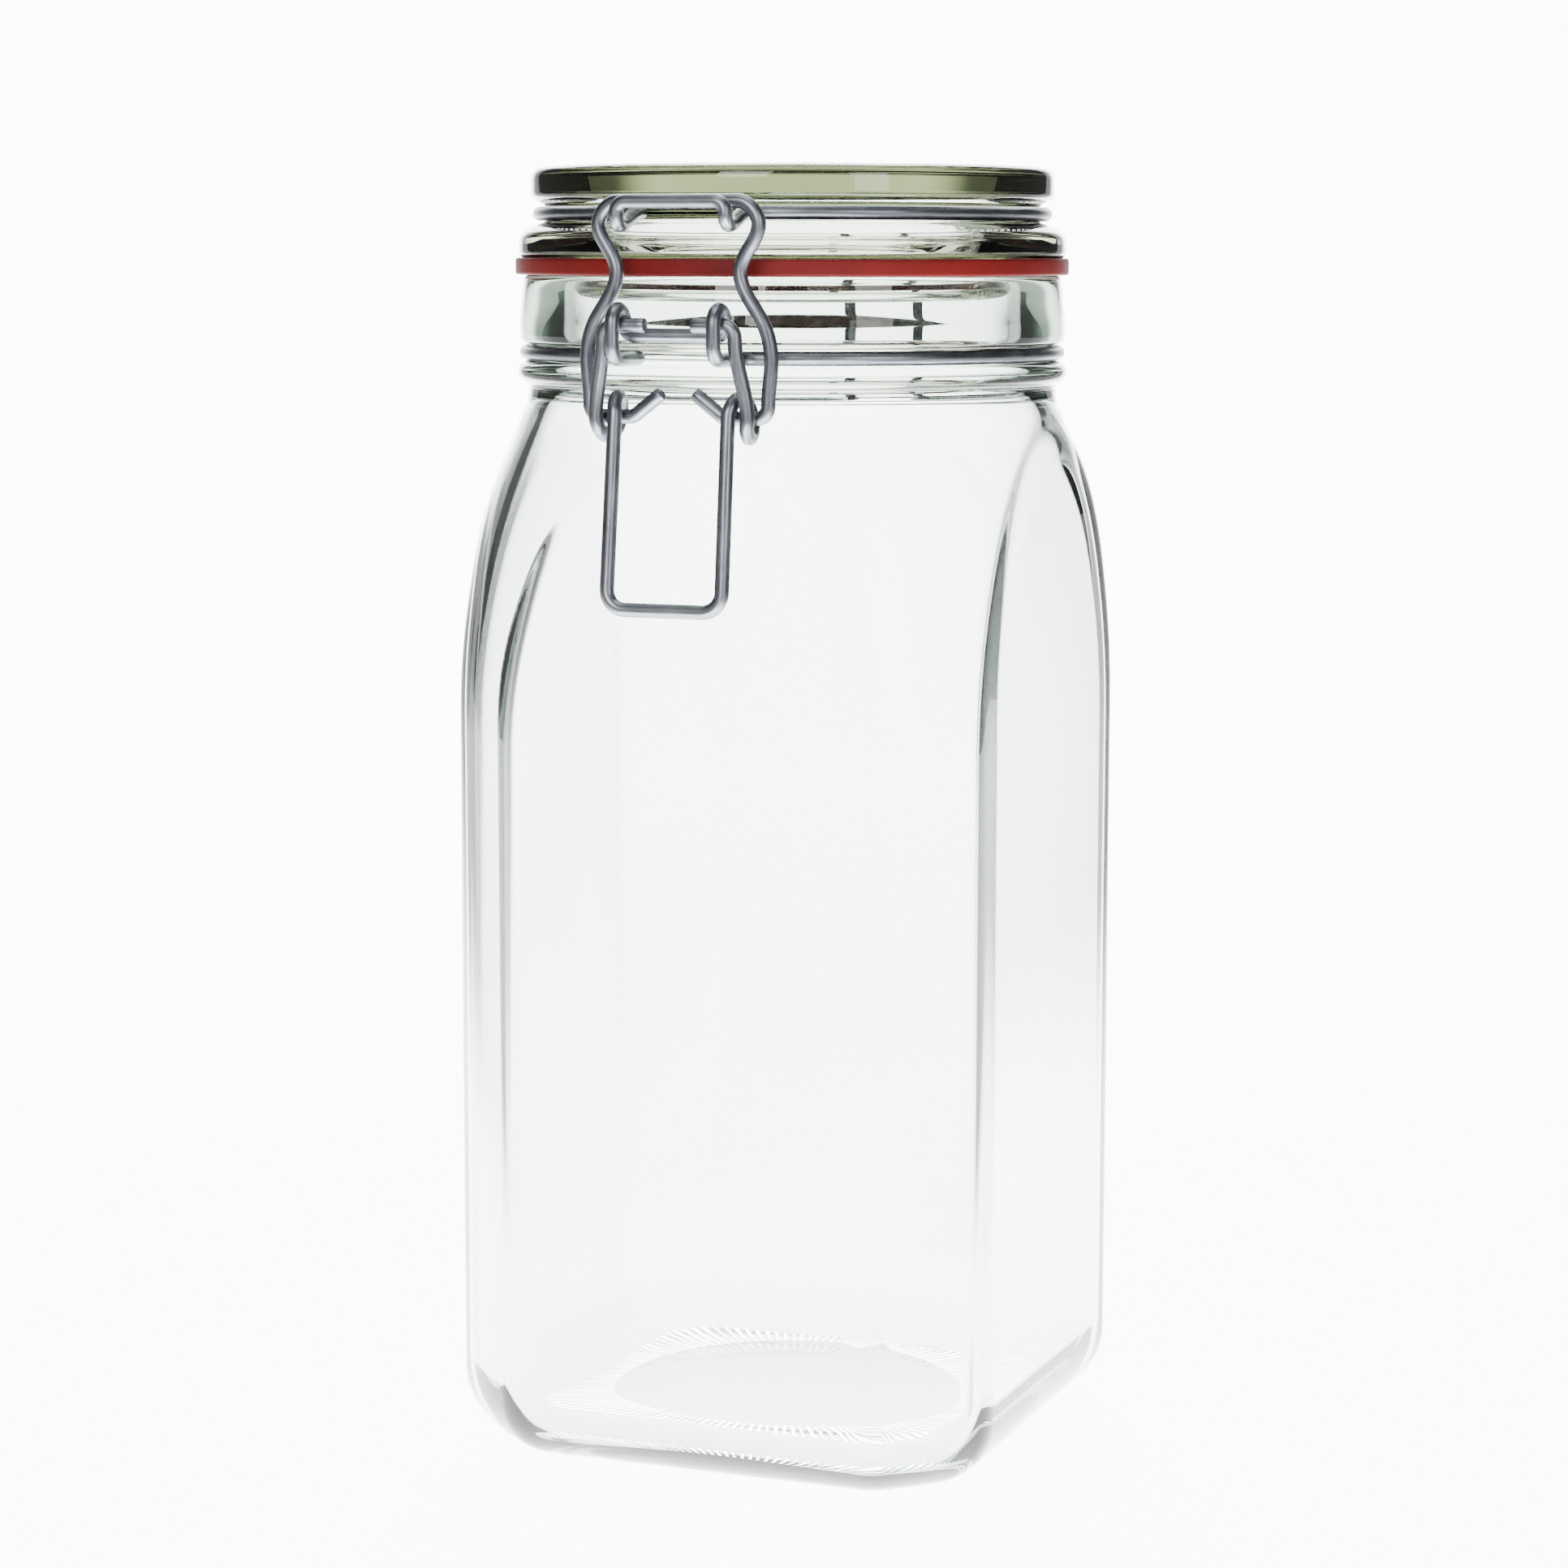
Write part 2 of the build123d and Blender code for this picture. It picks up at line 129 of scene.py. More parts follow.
def bump(nodes, links, height, shader, strength, distance, after=None):
    """Bump from height, on top of an earlier bump if there is one."""
    node = nodes.new("ShaderNodeBump")
    node.inputs["Strength"].default_value = strength
    node.inputs["Distance"].default_value = distance
    links.new(height, node.inputs["Height"])
    if after is not None:
        links.new(after, node.inputs["Normal"])
    links.new(node.outputs["Normal"], shader.inputs["Normal"])
    return node.outputs["Normal"]


def object_coords(nodes):
    return nodes.new("ShaderNodeTexCoord").outputs["Object"]


def uv_coords(nodes):
    return nodes.new("ShaderNodeTexCoord").outputs["UV"]


# ------------------------------------------------------------------ materials


def glass_material(name, absorb, density, wave):
    """Solid glass that takes up light along the path inside it, with a faintly wavy skin."""
    material, nodes, links, shader, output = new_material(name)
    coords = object_coords(nodes)
    slow = noise(nodes, links, coords, 14.0, 2.0, stretch=(1, 1, 0.45))
    fine = noise(nodes, links, coords, 160.0, 2.0)
    tint = ramp(nodes, links, slow, [(0.3, (0.985, 0.995, 0.988)), (0.7, (1.0, 1.0, 1.0))])
    links.new(tint, shader.inputs["Base Color"])
    links.new(span(nodes, links, fine, 0.0, 0.012), shader.inputs["Roughness"])
    shader.inputs["IOR"].default_value = 1.5
    shader.inputs["Transmission Weight"].default_value = 1.0
    after = bump(nodes, links, slow, shader, wave, 0.0012)
    bump(nodes, links, fine, shader, wave * 0.25, 0.00005, after)
    volume = nodes.new("ShaderNodeVolumeAbsorption")
    volume.inputs["Color"].default_value = (*absorb, 1.0)
    volume.inputs["Density"].default_value = density
    links.new(volume.outputs[0], output.inputs["Volume"])
    return material


def rubber_material(name):
    """Matt red rubber with slow clouds of colour and a fine grain."""
    material, nodes, links, shader, output = new_material(name)
    coords = object_coords(nodes)
    cloud = noise(nodes, links, coords, 90.0, 4.0)
    grain = noise(nodes, links, coords, 2600.0, 2.0)
    colour = ramp(
        nodes,
        links,
        cloud,
        [
            (0.25, (0.095, 0.002, 0.0015)),
            (0.55, (0.125, 0.003, 0.002)),
            (0.8, (0.16, 0.006, 0.004)),
        ],
    )
    links.new(colour, shader.inputs["Base Color"])
    links.new(span(nodes, links, grain, 0.5, 0.7), shader.inputs["Roughness"])
    shader.inputs["IOR"].default_value = 1.52
    shader.inputs["Specular IOR Level"].default_value = 0.25
    after = bump(nodes, links, cloud, shader, 0.12, 0.0004)
    bump(nodes, links, grain, shader, 0.25, 0.00004, after)
    return material


def wire_material(name):
    """Satin zinc-plated wire, with die lines along it. UV u runs along, in metres."""
    material, nodes, links, shader, output = new_material(name)
    uv = uv_coords(nodes)
    coords = object_coords(nodes)
    lines = noise(nodes, links, uv, 1.0, 4.0, 0.6, stretch=(60.0, 9.0, 1))
    fine = noise(nodes, links, uv, 1.0, 3.0, 0.6, stretch=(240.0, 34.0, 1))
    cloud = noise(nodes, links, coords, 240.0, 3.0)
    colour = ramp(
        nodes,
        links,
        lines,
        [(0.28, (0.11, 0.12, 0.145)), (0.5, (0.25, 0.265, 0.295)), (0.72, (0.45, 0.465, 0.50))],
    )
    spots = ramp(nodes, links, cloud, [(0.3, (0.80, 0.80, 0.82)), (0.6, (1, 1, 1))])
    mix = nodes.new("ShaderNodeMix")
    mix.data_type = "RGBA"
    mix.blend_type = "MULTIPLY"
    mix.inputs["Factor"].default_value = 0.8
    links.new(colour, mix.inputs["A"])
    links.new(spots, mix.inputs["B"])
    links.new(mix.outputs["Result"], shader.inputs["Base Color"])
    shader.inputs["Metallic"].default_value = 1.0
    links.new(span(nodes, links, fine, 0.26, 0.46), shader.inputs["Roughness"])
    after = bump(nodes, links, lines, shader, 0.35, 0.0001)
    bump(nodes, links, fine, shader, 0.2, 0.00004, after)
    return material


jar_look = glass_material("jar_glass_look", (0.53, 0.61, 0.55), 115.0, 0.05)
lid_look = glass_material("lid_glass_look", (0.60, 0.63, 0.52), 78.0, 0.05)
rubber_look = rubber_material("gasket_look")
wire_look = wire_material("wire_look")

# ------------------------------------------------------------------ mesh helpers


def mesh_object(name, verts, faces, material, body, node, uvs=None):
    """A smooth piece in place of a CAD node. verts are in millimetres."""
    mesh = bpy.data.meshes.new(name)
    mesh.from_pydata([tuple(v * MM for v in p) for p in verts], [], faces)
    mesh.validate()
    if uvs is not None:
        layer = mesh.uv_layers.new(name="along")
        for loop in mesh.loops:
            layer.data[loop.index].uv = uvs[loop.vertex_index]
    for polygon in mesh.polygons:
        polygon.use_smooth = True
    mesh.materials.append(material)
    piece = bpy.data.objects.new(name, mesh)
    bpy.context.scene.collection.objects.link(piece)
    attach(piece, body)
    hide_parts(node)
    return piece


def ring_skin(rings, pole_start=None, pole_end=None, loop=False):
    """Vertices and faces of stacked closed rings, joined in order."""
    count = len(rings[0])
    verts = [tuple(p) for ring in rings for p in ring]
    faces = []
    rows = len(rings)
    for i in range(rows if loop else rows - 1):
        a, b = i * count, ((i + 1) % rows) * count
        for j in range(count):
            k = (j + 1) % count
            faces.append((a + j, a + k, b + k, b + j))
    if pole_start is not None:
        verts.append(tuple(pole_start))
        tip = len(verts) - 1
        faces += [(tip, (j + 1) % count, j) for j in range(count)]
    if pole_end is not None:
        verts.append(tuple(pole_end))
        tip = len(verts) - 1
        last = (rows - 1) * count
        faces += [(tip, last + j, last + (j + 1) % count) for j in range(count)]
    return verts, faces


def smooth_curve(points, start=None, end=None, step=0.5):
    """A C2 cubic through points, leaving along start and arriving along end.

    It is sampled about every step mm. An end with no direction leaves along its chord.
    """
    p = np.array(points, float)
    chord = np.linalg.norm(np.diff(p, axis=0), axis=1)
    t = np.concatenate([[0], np.cumsum(chord)])
    n = len(p)
    a, rhs = np.zeros((n, n)), np.zeros_like(p)
    for i in range(1, n - 1):
        h0, h1 = chord[i - 1], chord[i]
        a[i, i - 1], a[i, i], a[i, i + 1] = h1, 2 * (h0 + h1), h0
        rhs[i] = 3 * (h1 * (p[i] - p[i - 1]) / h0 + h0 * (p[i + 1] - p[i]) / h1)
    for i, direction, other in ((0, start, 1), (n - 1, end, n - 2)):
        a[i, i] = 1.0
        if direction is None:
            a[i, other] = 1.0
            rhs[i] = 2 * (p[other] - p[i]) / (t[other] - t[i])
        else:
            d = np.array(direction, float)
            rhs[i] = d / np.linalg.norm(d)
    slope = np.linalg.solve(a, rhs)
    out = []
    for i in range(n - 1):
        h = chord[i]
        parts = max(2, int(math.ceil(h / step)))
        for j in range(parts):
            u = j / parts
            out.append(
                (2 * u**3 - 3 * u**2 + 1) * p[i]
                + (u**3 - 2 * u**2 + u) * h * slope[i]
                + (-2 * u**3 + 3 * u**2) * p[i + 1]
                + (u**3 - u**2) * h * slope[i + 1]
            )
    out.append(p[-1])
    return out


def arc(a, m, b, step=0.35):
    """Points on the circle from a through m to b."""
    a, m, b = (np.array(q, float) for q in (a, m, b))
    ab, am = b - a, m - a
    normal = np.cross(am, ab)
    nn = normal @ normal
    centre = a + (np.cross(normal, am) * (ab @ ab) - np.cross(normal, ab) * (am @ am)) / (2 * nn)
    radius = np.linalg.norm(a - centre)
    u = (a - centre) / radius
    w = np.cross(normal / math.sqrt(nn), u)
    angle = math.atan2((b - centre) @ w, (b - centre) @ u) % (2 * math.pi)
    parts = max(4, int(math.ceil(radius * angle / step)))
    return [
        centre + radius * (math.cos(angle * i / parts) * u + math.sin(angle * i / parts) * w)
        for i in range(parts + 1)
    ]


def rounded_run(points, radius):
    """Straight runs with each corner rounded to radius."""
    p = [np.array(q, float) for q in points]
    out = [p[0]]
    for i in range(1, len(p) - 1):
        before = (p[i - 1] - p[i]) / np.linalg.norm(p[i - 1] - p[i])
        after = (p[i + 1] - p[i]) / np.linalg.norm(p[i + 1] - p[i])
        half = math.acos(float(np.clip(before @ after, -1, 1))) / 2
        back = radius / math.tan(half)
        centre = p[i] + (before + after) / np.linalg.norm(before + after) * radius / math.sin(half)
        mid = centre + (p[i] - centre) / np.linalg.norm(p[i] - centre) * radius
        out += arc(p[i] + before * back, mid, p[i] + after * back)
    out.append(p[-1])
    return out


def quarter(start, corner, end):
    """A quarter-circle that leaves start towards corner and arrives at end."""
    start, corner, end = (np.array(q, float) for q in (start, corner, end))
    centre = start + end - corner
    radius = np.linalg.norm(start - centre)
    mid = centre + (corner - centre) / np.linalg.norm(corner - centre) * radius
    return arc(start, mid, end)


def join(*runs):
    """One run of points from several, without the points they share."""
    out = []
    for run in runs:
        for q in run:
            q = np.array(q, float)
            if not out or np.linalg.norm(q - out[-1]) > 0.02:
                out.append(q)
    return out


def both_sides(half):
    """The whole wire from its half that starts at X = 0 and runs on the -X side."""
    return join([q * (-1, 1, 1) for q in reversed(half)], half)


def resample(points, step):
    """The same points, with more of them on long straight runs."""
    p = np.array(points)
    chord = np.linalg.norm(np.diff(p, axis=0), axis=1)
    t = np.concatenate([[0], np.cumsum(chord)])
    keep = [0.0]
    for i in range(len(chord)):
        parts = max(1, int(chord[i] / step))
        keep += [t[i] + chord[i] * (j + 1) / parts for j in range(parts)]
    return np.column_stack([np.interp(keep, t, p[:, k]) for k in range(3)])


WIRE_SIDES = 28
CUT_BEVEL = 0.22


def wire(name, path, radius, body, node):
    """A round wire along path, with lightly bevelled cut ends."""
    p = resample(path, 1.0)
    tangent = np.gradient(p, axis=0)
    tangent /= np.linalg.norm(tangent, axis=1)[:, None]
    normal = np.cross(tangent[0], (0.3, 0.2, 1.0))
    normal /= np.linalg.norm(normal)
    frames = [normal]
    for i in range(1, len(p)):
        axis = np.cross(tangent[i - 1], tangent[i])
        s = np.linalg.norm(axis)
        n = frames[-1]
        if s > 1e-9:
            axis /= s
            angle = math.atan2(s, tangent[i - 1] @ tangent[i])
            n = (
                n * math.cos(angle)
                + np.cross(axis, n) * math.sin(angle)
                + axis * (axis @ n) * (1 - math.cos(angle))
            )
        n = n - tangent[i] * (n @ tangent[i])
        frames.append(n / np.linalg.norm(n))
    along = np.concatenate([[0], np.cumsum(np.linalg.norm(np.diff(p, axis=0), axis=1))])
    stations = [(p[i], tangent[i], frames[i], radius, along[i]) for i in range(len(p))]
    b = CUT_BEVEL
    ends = []
    for i, sign in ((0, -1), (-1, 1)):
        q, t, n, _, s = stations[i]
        ends.append(
            [
                (q - sign * t * b, t, n, radius, s),
                (q - sign * t * b * 0.25, t, n, radius - b * 0.35, s),
                (q, t, n, radius - b, s),
                (q + sign * t * 0.04, t, n, radius * 0.5, s),
            ]
        )
    stations = ends[0][::-1] + stations[1:-1] + ends[1]
    rings, uvs = [], []
    for q, t, n, r, s in stations:
        side = np.cross(t, n)
        ring = []
        for j in range(WIRE_SIDES):
            a = 2 * math.pi * j / WIRE_SIDES
            ring.append(q + r * (math.cos(a) * n + math.sin(a) * side))
            uvs.append((s * MM, abs(2 * j / WIRE_SIDES - 1)))
        rings.append(ring)
    first, last = stations[0], stations[-1]
    verts, faces = ring_skin(rings, first[0] - first[1] * 0.05, last[0] + last[1] * 0.05)
    uvs += [(first[4] * MM, 0.5), (last[4] * MM, 0.5)]
    return mesh_object(name, verts, faces, wire_look, body, node, uvs)


# ------------------------------------------------------------------ glass jar
BODY_HALF, BODY_RADIUS, HEEL, WALL = 49.05, 59.3, 13.0, 3.5
FLOOR, FLOOR_ROUND = 6.0, 9.0
PUSH_UP, PUSH_UP_RADIUS, DOME, DOME_RADIUS = 2.2, 31.0, 2.4, 34.0
RIM_TOP, BORE = 204.7, 40.0
DASHES, DASH_DEPTH = 144, 0.55
ANGLES = 720
theta = np.arange(ANGLES) * 2 * math.pi / ANGLES
OUTER_BLEND, INNER_BLEND = 1.4, 2.4


def square(half):
    """Distance from the axis to a square's edge at each angle."""
    return half / np.maximum(np.abs(np.cos(theta)), np.abs(np.sin(theta)))


def soft_min(a, b, blend):
    """The smaller of a and b, with the crease between them rounded off."""
    h = np.clip(0.5 + 0.5 * (b - a) / blend, 0, 1)
    return b * (1 - h) + a * h - blend * h * (1 - h)


def plan(half, radius, blend):
    """A square cut by a circle, with the creases between them just rounded."""
    return soft_min(square(half), np.full(ANGLES, radius), blend)


def spline_radius(points, start, end):
    """A radius for any height from a smooth profile of (radius, z) points."""
    curve = np.array(smooth_curve(points, start, end, 0.25))
    order = np.argsort(curve[:, 1])
    return lambda z: float(np.interp(z, curve[order, 1], curve[order, 0]))


SHOULDER_Z = 128.0
outer_shoulder = spline_radius(
    [
        (59.3, 128.0),
        (58.7, 140.0),
        (57.1, 150.5),
        (54.5, 162.1),
        (50.4, 173.6),
        (47.8, 179.3),
        (46.1, 185.2),
    ],
    (0, 1),
    (0, 1),
)
inner_shoulder = spline_radius(
    [
        (55.8, 126.0),
        (54.9, 140.0),
        (53.3, 149.5),
        (50.7, 160.5),
        (46.8, 171.8),
        (43.9, 179.0),
        (41.6, 186.5),
        (40.0, 195.0),
    ],
    (0, 1),
    (0, 1),
)


def ring_at(radius, z):
    return np.column_stack(
        [radius * np.cos(theta), radius * np.sin(theta), np.broadcast_to(z, theta.shape)]
    )


def jar_rings():
    """The jar's whole skin as rings, from the middle of the underside to the floor inside."""
    rings = []
    # underside, from the middle out: hollow, then the ring the jar stands on
    for r in np.linspace(2.0, PUSH_UP_RADIUS, 26):
        u = r / PUSH_UP_RADIUS
        rings.append(ring_at(np.full(ANGLES, r), PUSH_UP * (1 - u**1.9)))
    foot = plan(BODY_HALF - HEEL, BODY_RADIUS - HEEL, OUTER_BLEND)
    tooth = np.clip(np.sin(theta * DASHES) * 1.6, 0, 1)
    for u in np.linspace(0, 1, 15)[1:]:
        r = PUSH_UP_RADIUS * (1 - u) + foot * u
        # a row of short moulded dashes near the outside of the standing ring
        row = math.exp(-(((u - 0.62) / 0.16) ** 2))
        rings.append(ring_at(r, DASH_DEPTH * row * tooth))
    for a in np.linspace(0, math.pi / 2, 18)[1:]:
        inset = HEEL * (1 - math.sin(a))
        edge = plan(BODY_HALF - inset, BODY_RADIUS - inset, OUTER_BLEND)
        rings.append(ring_at(edge, HEEL * (1 - math.cos(a))))
    # straight sides, then flat faces running up into arches where the shoulder cuts them
    for z in np.linspace(HEEL, SHOULDER_Z, 50)[1:]:
        rings.append(ring_at(plan(BODY_HALF, BODY_RADIUS, OUTER_BLEND), z))
    for z in np.linspace(SHOULDER_Z, 185.2, 100)[1:]:
        rings.append(ring_at(plan(BODY_HALF, outer_shoulder(z), OUTER_BLEND), z))
    neck = [(46.1, 185.2), (46.1, 186.0)]
    neck += [
        (46.1 + 1.9 * math.cos(a), 188.1 + 1.9 * math.sin(a))
        for a in np.linspace(-1.45, 1.45, 15)
    ]
    neck += [(45.6, 190.1), (45.2, 190.6), (45.13, 191.4), (45.2, 192.2), (45.7, 192.8)]
    neck += [(46.6, 193.0), (47.25, 193.2), (47.55, 193.7), (47.7, 195.0), (47.62, 197.0)]
    neck += [(47.4, 199.3), (47.2, 201.4), (47.05, 203.0)]
    neck += [
        (45.8 + 1.2 * math.cos(a), 203.5 + 1.2 * math.sin(a))
        for a in np.linspace(0.15, math.pi / 2, 8)
    ]
    neck += [(44.5, RIM_TOP), (42.5, RIM_TOP)]
    neck += [
        (41.2 - 1.2 * math.sin(a), 203.5 + 1.2 * math.cos(a))
        for a in np.linspace(0, math.pi / 2, 8)
    ]
    neck += [(BORE, 201.5), (BORE, 198.0), (BORE, 195.0)]
    for r, z in neck[1:]:
        rings.append(ring_at(np.full(ANGLES, r), z))
    # inside, back down to the floor
    half, radius = BODY_HALF - WALL, BODY_RADIUS - WALL
    for z in np.linspace(195, SHOULDER_Z - 2, 110)[1:]:
        rings.append(ring_at(plan(half, inner_shoulder(z), INNER_BLEND), z))
    top = FLOOR + FLOOR_ROUND
    for z in np.linspace(SHOULDER_Z - 2, top, 50)[1:]:
        rings.append(ring_at(plan(half, radius, INNER_BLEND), z))
    for a in np.linspace(math.pi / 2, 0, 18)[1:]:
        inset = FLOOR_ROUND * (1 - math.sin(a))
        edge = plan(half - inset, radius - inset, INNER_BLEND)
        rings.append(ring_at(edge, top - FLOOR_ROUND * math.cos(a)))
    last = plan(half - FLOOR_ROUND, radius - FLOOR_ROUND, INNER_BLEND)
    for u in np.linspace(0, 1, 8)[1:]:
        rings.append(ring_at(last * (1 - u) + DOME_RADIUS * u, FLOOR))
    for r in np.linspace(DOME_RADIUS, 2.0, 26)[1:]:
        u = r / DOME_RADIUS
        rings.append(ring_at(np.full(ANGLES, r), FLOOR + DOME * (1 - u * u) ** 1.2))
    return rings


verts, faces = ring_skin(jar_rings(), (0, 0, PUSH_UP), (0, 0, FLOOR + DOME))
mesh_object("jar_glass_skin", verts, faces, jar_look, "jar", "jar_glass")

# ------------------------------------------------------------------ glass lid
RIBS, RIB_DEPTH = 118, 0.42
FLANGE = 207.65
LID_TOP = 223.2


def profile_run(points, radius=0.5, parts=4):
    """A lathe profile of (radius, z) corners, each softened a little."""
    p = [np.array(q, float) for q in points]
    out = [p[0]]
    for i in range(1, len(p) - 1):
        before, after = p[i - 1] - p[i], p[i + 1] - p[i]
        reach = min(radius, np.linalg.norm(before) * 0.45, np.linalg.norm(after) * 0.45)
        a = p[i] + before / np.linalg.norm(before) * reach
        b = p[i] + after / np.linalg.norm(after) * reach
        for j in range(parts + 1):
            u = j / parts
            out.append((1 - u) ** 2 * a + 2 * u * (1 - u) * p[i] + u * u * b)
    out.append(p[-1])
    return out


def lid_rings(count):
    """The lid's skin as rings of count points, from under its middle to the top."""
    turn = np.arange(count) * 2 * math.pi / count
    under = [(3.0, 214.0), (24, 213.4), (33.3, 210.0), (34.6, FLANGE - 6.1), (35.6, FLANGE - 7.6)]
    under += [(37.2, FLANGE - 7.6), (38.4, FLANGE - 6.4), (38.4, FLANGE), (47.15, FLANGE)]
    under += [(47.75, FLANGE + 0.7), (47.75, FLANGE + 2.2), (47.55, FLANGE + 3.6)]
    under += [(47.05, FLANGE + 4.4), (45.15, FLANGE + 5.6), (43.35, 213.65), (42.75, 214.2)]
    under += [(42.75, 216.2), (43.35, 216.9), (44.7, 217.3), (45.6, 218.2), (45.6, LID_TOP - 1.7)]
    under += [(45.1, LID_TOP - 0.5), (43.9, LID_TOP)]
    crown = [(43.9 - 5.5 * u, LID_TOP + 0.2 * u) for u in np.linspace(0, 1, 14)]
    over = [(38.4, LID_TOP + 0.2), (36.6, LID_TOP - 1.2)]
    over += [(18.0, LID_TOP - 0.95), (3.0, LID_TOP - 0.8)]
    runs = ((profile_run(under, 0.6), False), (crown, True), (profile_run(over, 0.6), False))
    rings = []
    for run, ribbed in runs:
        for r, z in run:
            drop = 0.0
            if ribbed:
                # round-topped ribs, fading out at both ends of the flutes
                wave = (0.5 - 0.5 * np.cos(turn * RIBS)) ** 0.4
                fade = np.clip((r - 39.0) / 0.5, 0, 1) * np.clip((43.5 - r) / 0.5, 0, 1)
                drop = RIB_DEPTH * fade * wave
            zz = np.broadcast_to(z, turn.shape) - drop
            rings.append(np.column_stack([r * np.cos(turn), r * np.sin(turn), zz]))
    return rings


lid_count = RIBS * 12
verts, faces = ring_skin(lid_rings(lid_count), (0, 0, 214.0), (0, 0, LID_TOP - 0.8))
mesh_object("lid_glass_skin", verts, faces, lid_look, "lid", "lid_glass")

# ------------------------------------------------------------------ rubber gasket
GASKET_LOW, GASKET_HIGH, GASKET_IN, GASKET_OUT = 204.75, 207.65, 38.7, 48.25
section = profile_run(
    [
        (43.0, GASKET_LOW),
        (GASKET_OUT, GASKET_LOW),
        (GASKET_OUT, GASKET_HIGH),
        (GASKET_IN, GASKET_HIGH),
        (GASKET_IN, GASKET_LOW),
        (43.0, GASKET_LOW),
    ],
    0.55,
    6,
)[:-1]
turn = np.arange(480) * 2 * math.pi / 480
# a moulded ring is never quite even: a few hundredths of a millimetre in and out
waver = 0.05 * np.sin(turn * 3 + 0.7) + 0.03 * np.sin(turn * 11 + 2.1)
gasket_rings = []
for r, z in section:
    outer = max(0.0, (r - 44.0) / 4.25)
    reach = r - (0.06 + waver) * outer
    gasket_rings.append(
        np.column_stack([reach * np.cos(turn), reach * np.sin(turn), np.full(turn.shape, z)])
    )
verts, faces = ring_skin(gasket_rings, loop=True)
mesh_object("gasket_ring", verts, faces, rubber_look, "lid", "gasket")

# ------------------------------------------------------------------ wires
WIRE = 2.4
NECK_WIRE_Z, NECK_WIRE_R = 191.4, 46.35
LID_WIRE_Z, LID_WIRE_R = 215.2, 44.0
BEND = 3.0
PIVOT_Y, PIVOT_Z = -55.4, 196.9
COIL_Y, COIL_Z, COIL_R = -51.2, 181.9, 3.2


def onto_ring(ring_radius, strand_x, side, z):
    """The bend that carries a strand running along Y onto a ring round the glass."""
    cx = strand_x + BEND
    cy = math.sqrt((ring_radius + BEND) ** 2 - cx * cx)
    a = math.atan2(cy, cx) / 2
    reach = ring_radius / (ring_radius + BEND)
    return arc(
        (-strand_x, side * cy, z),
        (-cx + BEND * math.cos(a), side * (cy - BEND * math.sin(a)), z),
        (-cx * reach, side * cy * reach, z),
    )


def ring_sweep(ring_radius, front, rear, z):
    """The ring itself, round the -X side from the front bend to the rear one."""
    return arc(front[-1], (-ring_radius, 0, z), rear[-1], step=0.8)


# lid wire: hook bar in front, ring in the lid's groove, hinge pins behind
HOOK_Y, HOOK_Z, HOOK_X, HOOK_LOW = -54.6, 216.9, 9.6, 213.15
HINGE_X, HINGE_Y, HINGE_Z = 11.5, 57.4, 204.5
front = onto_ring(LID_WIRE_R, HOOK_X, -1, LID_WIRE_Z)
rear = onto_ring(LID_WIRE_R, HINGE_X, 1, LID_WIRE_Z)
half = join(
    [(0, HOOK_Y, HOOK_Z)],
    quarter(
        (1.9 - HOOK_X, HOOK_Y, HOOK_Z),
        (-HOOK_X, HOOK_Y, HOOK_Z),
        (-HOOK_X, HOOK_Y, HOOK_Z - 1.9),
    ),
    quarter(
        (-HOOK_X, HOOK_Y, HOOK_LOW + 1.7),
        (-HOOK_X, HOOK_Y, HOOK_LOW),
        (-HOOK_X, HOOK_Y + 1.7, HOOK_LOW),
    ),
    smooth_curve([(-HOOK_X, HOOK_Y + 1.7, HOOK_LOW), front[0]], (0, 1, 0), (0, 1, 0)),
    front,
    ring_sweep(LID_WIRE_R, front, rear, LID_WIRE_Z),
    rear[::-1],
    rounded_run(
        [
            rear[0],
            (-HINGE_X, HINGE_Y, LID_WIRE_Z),
            (-HINGE_X, HINGE_Y, HINGE_Z),
            (-4.0, HINGE_Y, HINGE_Z),
        ],
        2.2,
    ),
)
wire("lid_wire", both_sides(half), WIRE / 2, "lid", "lid_ring")

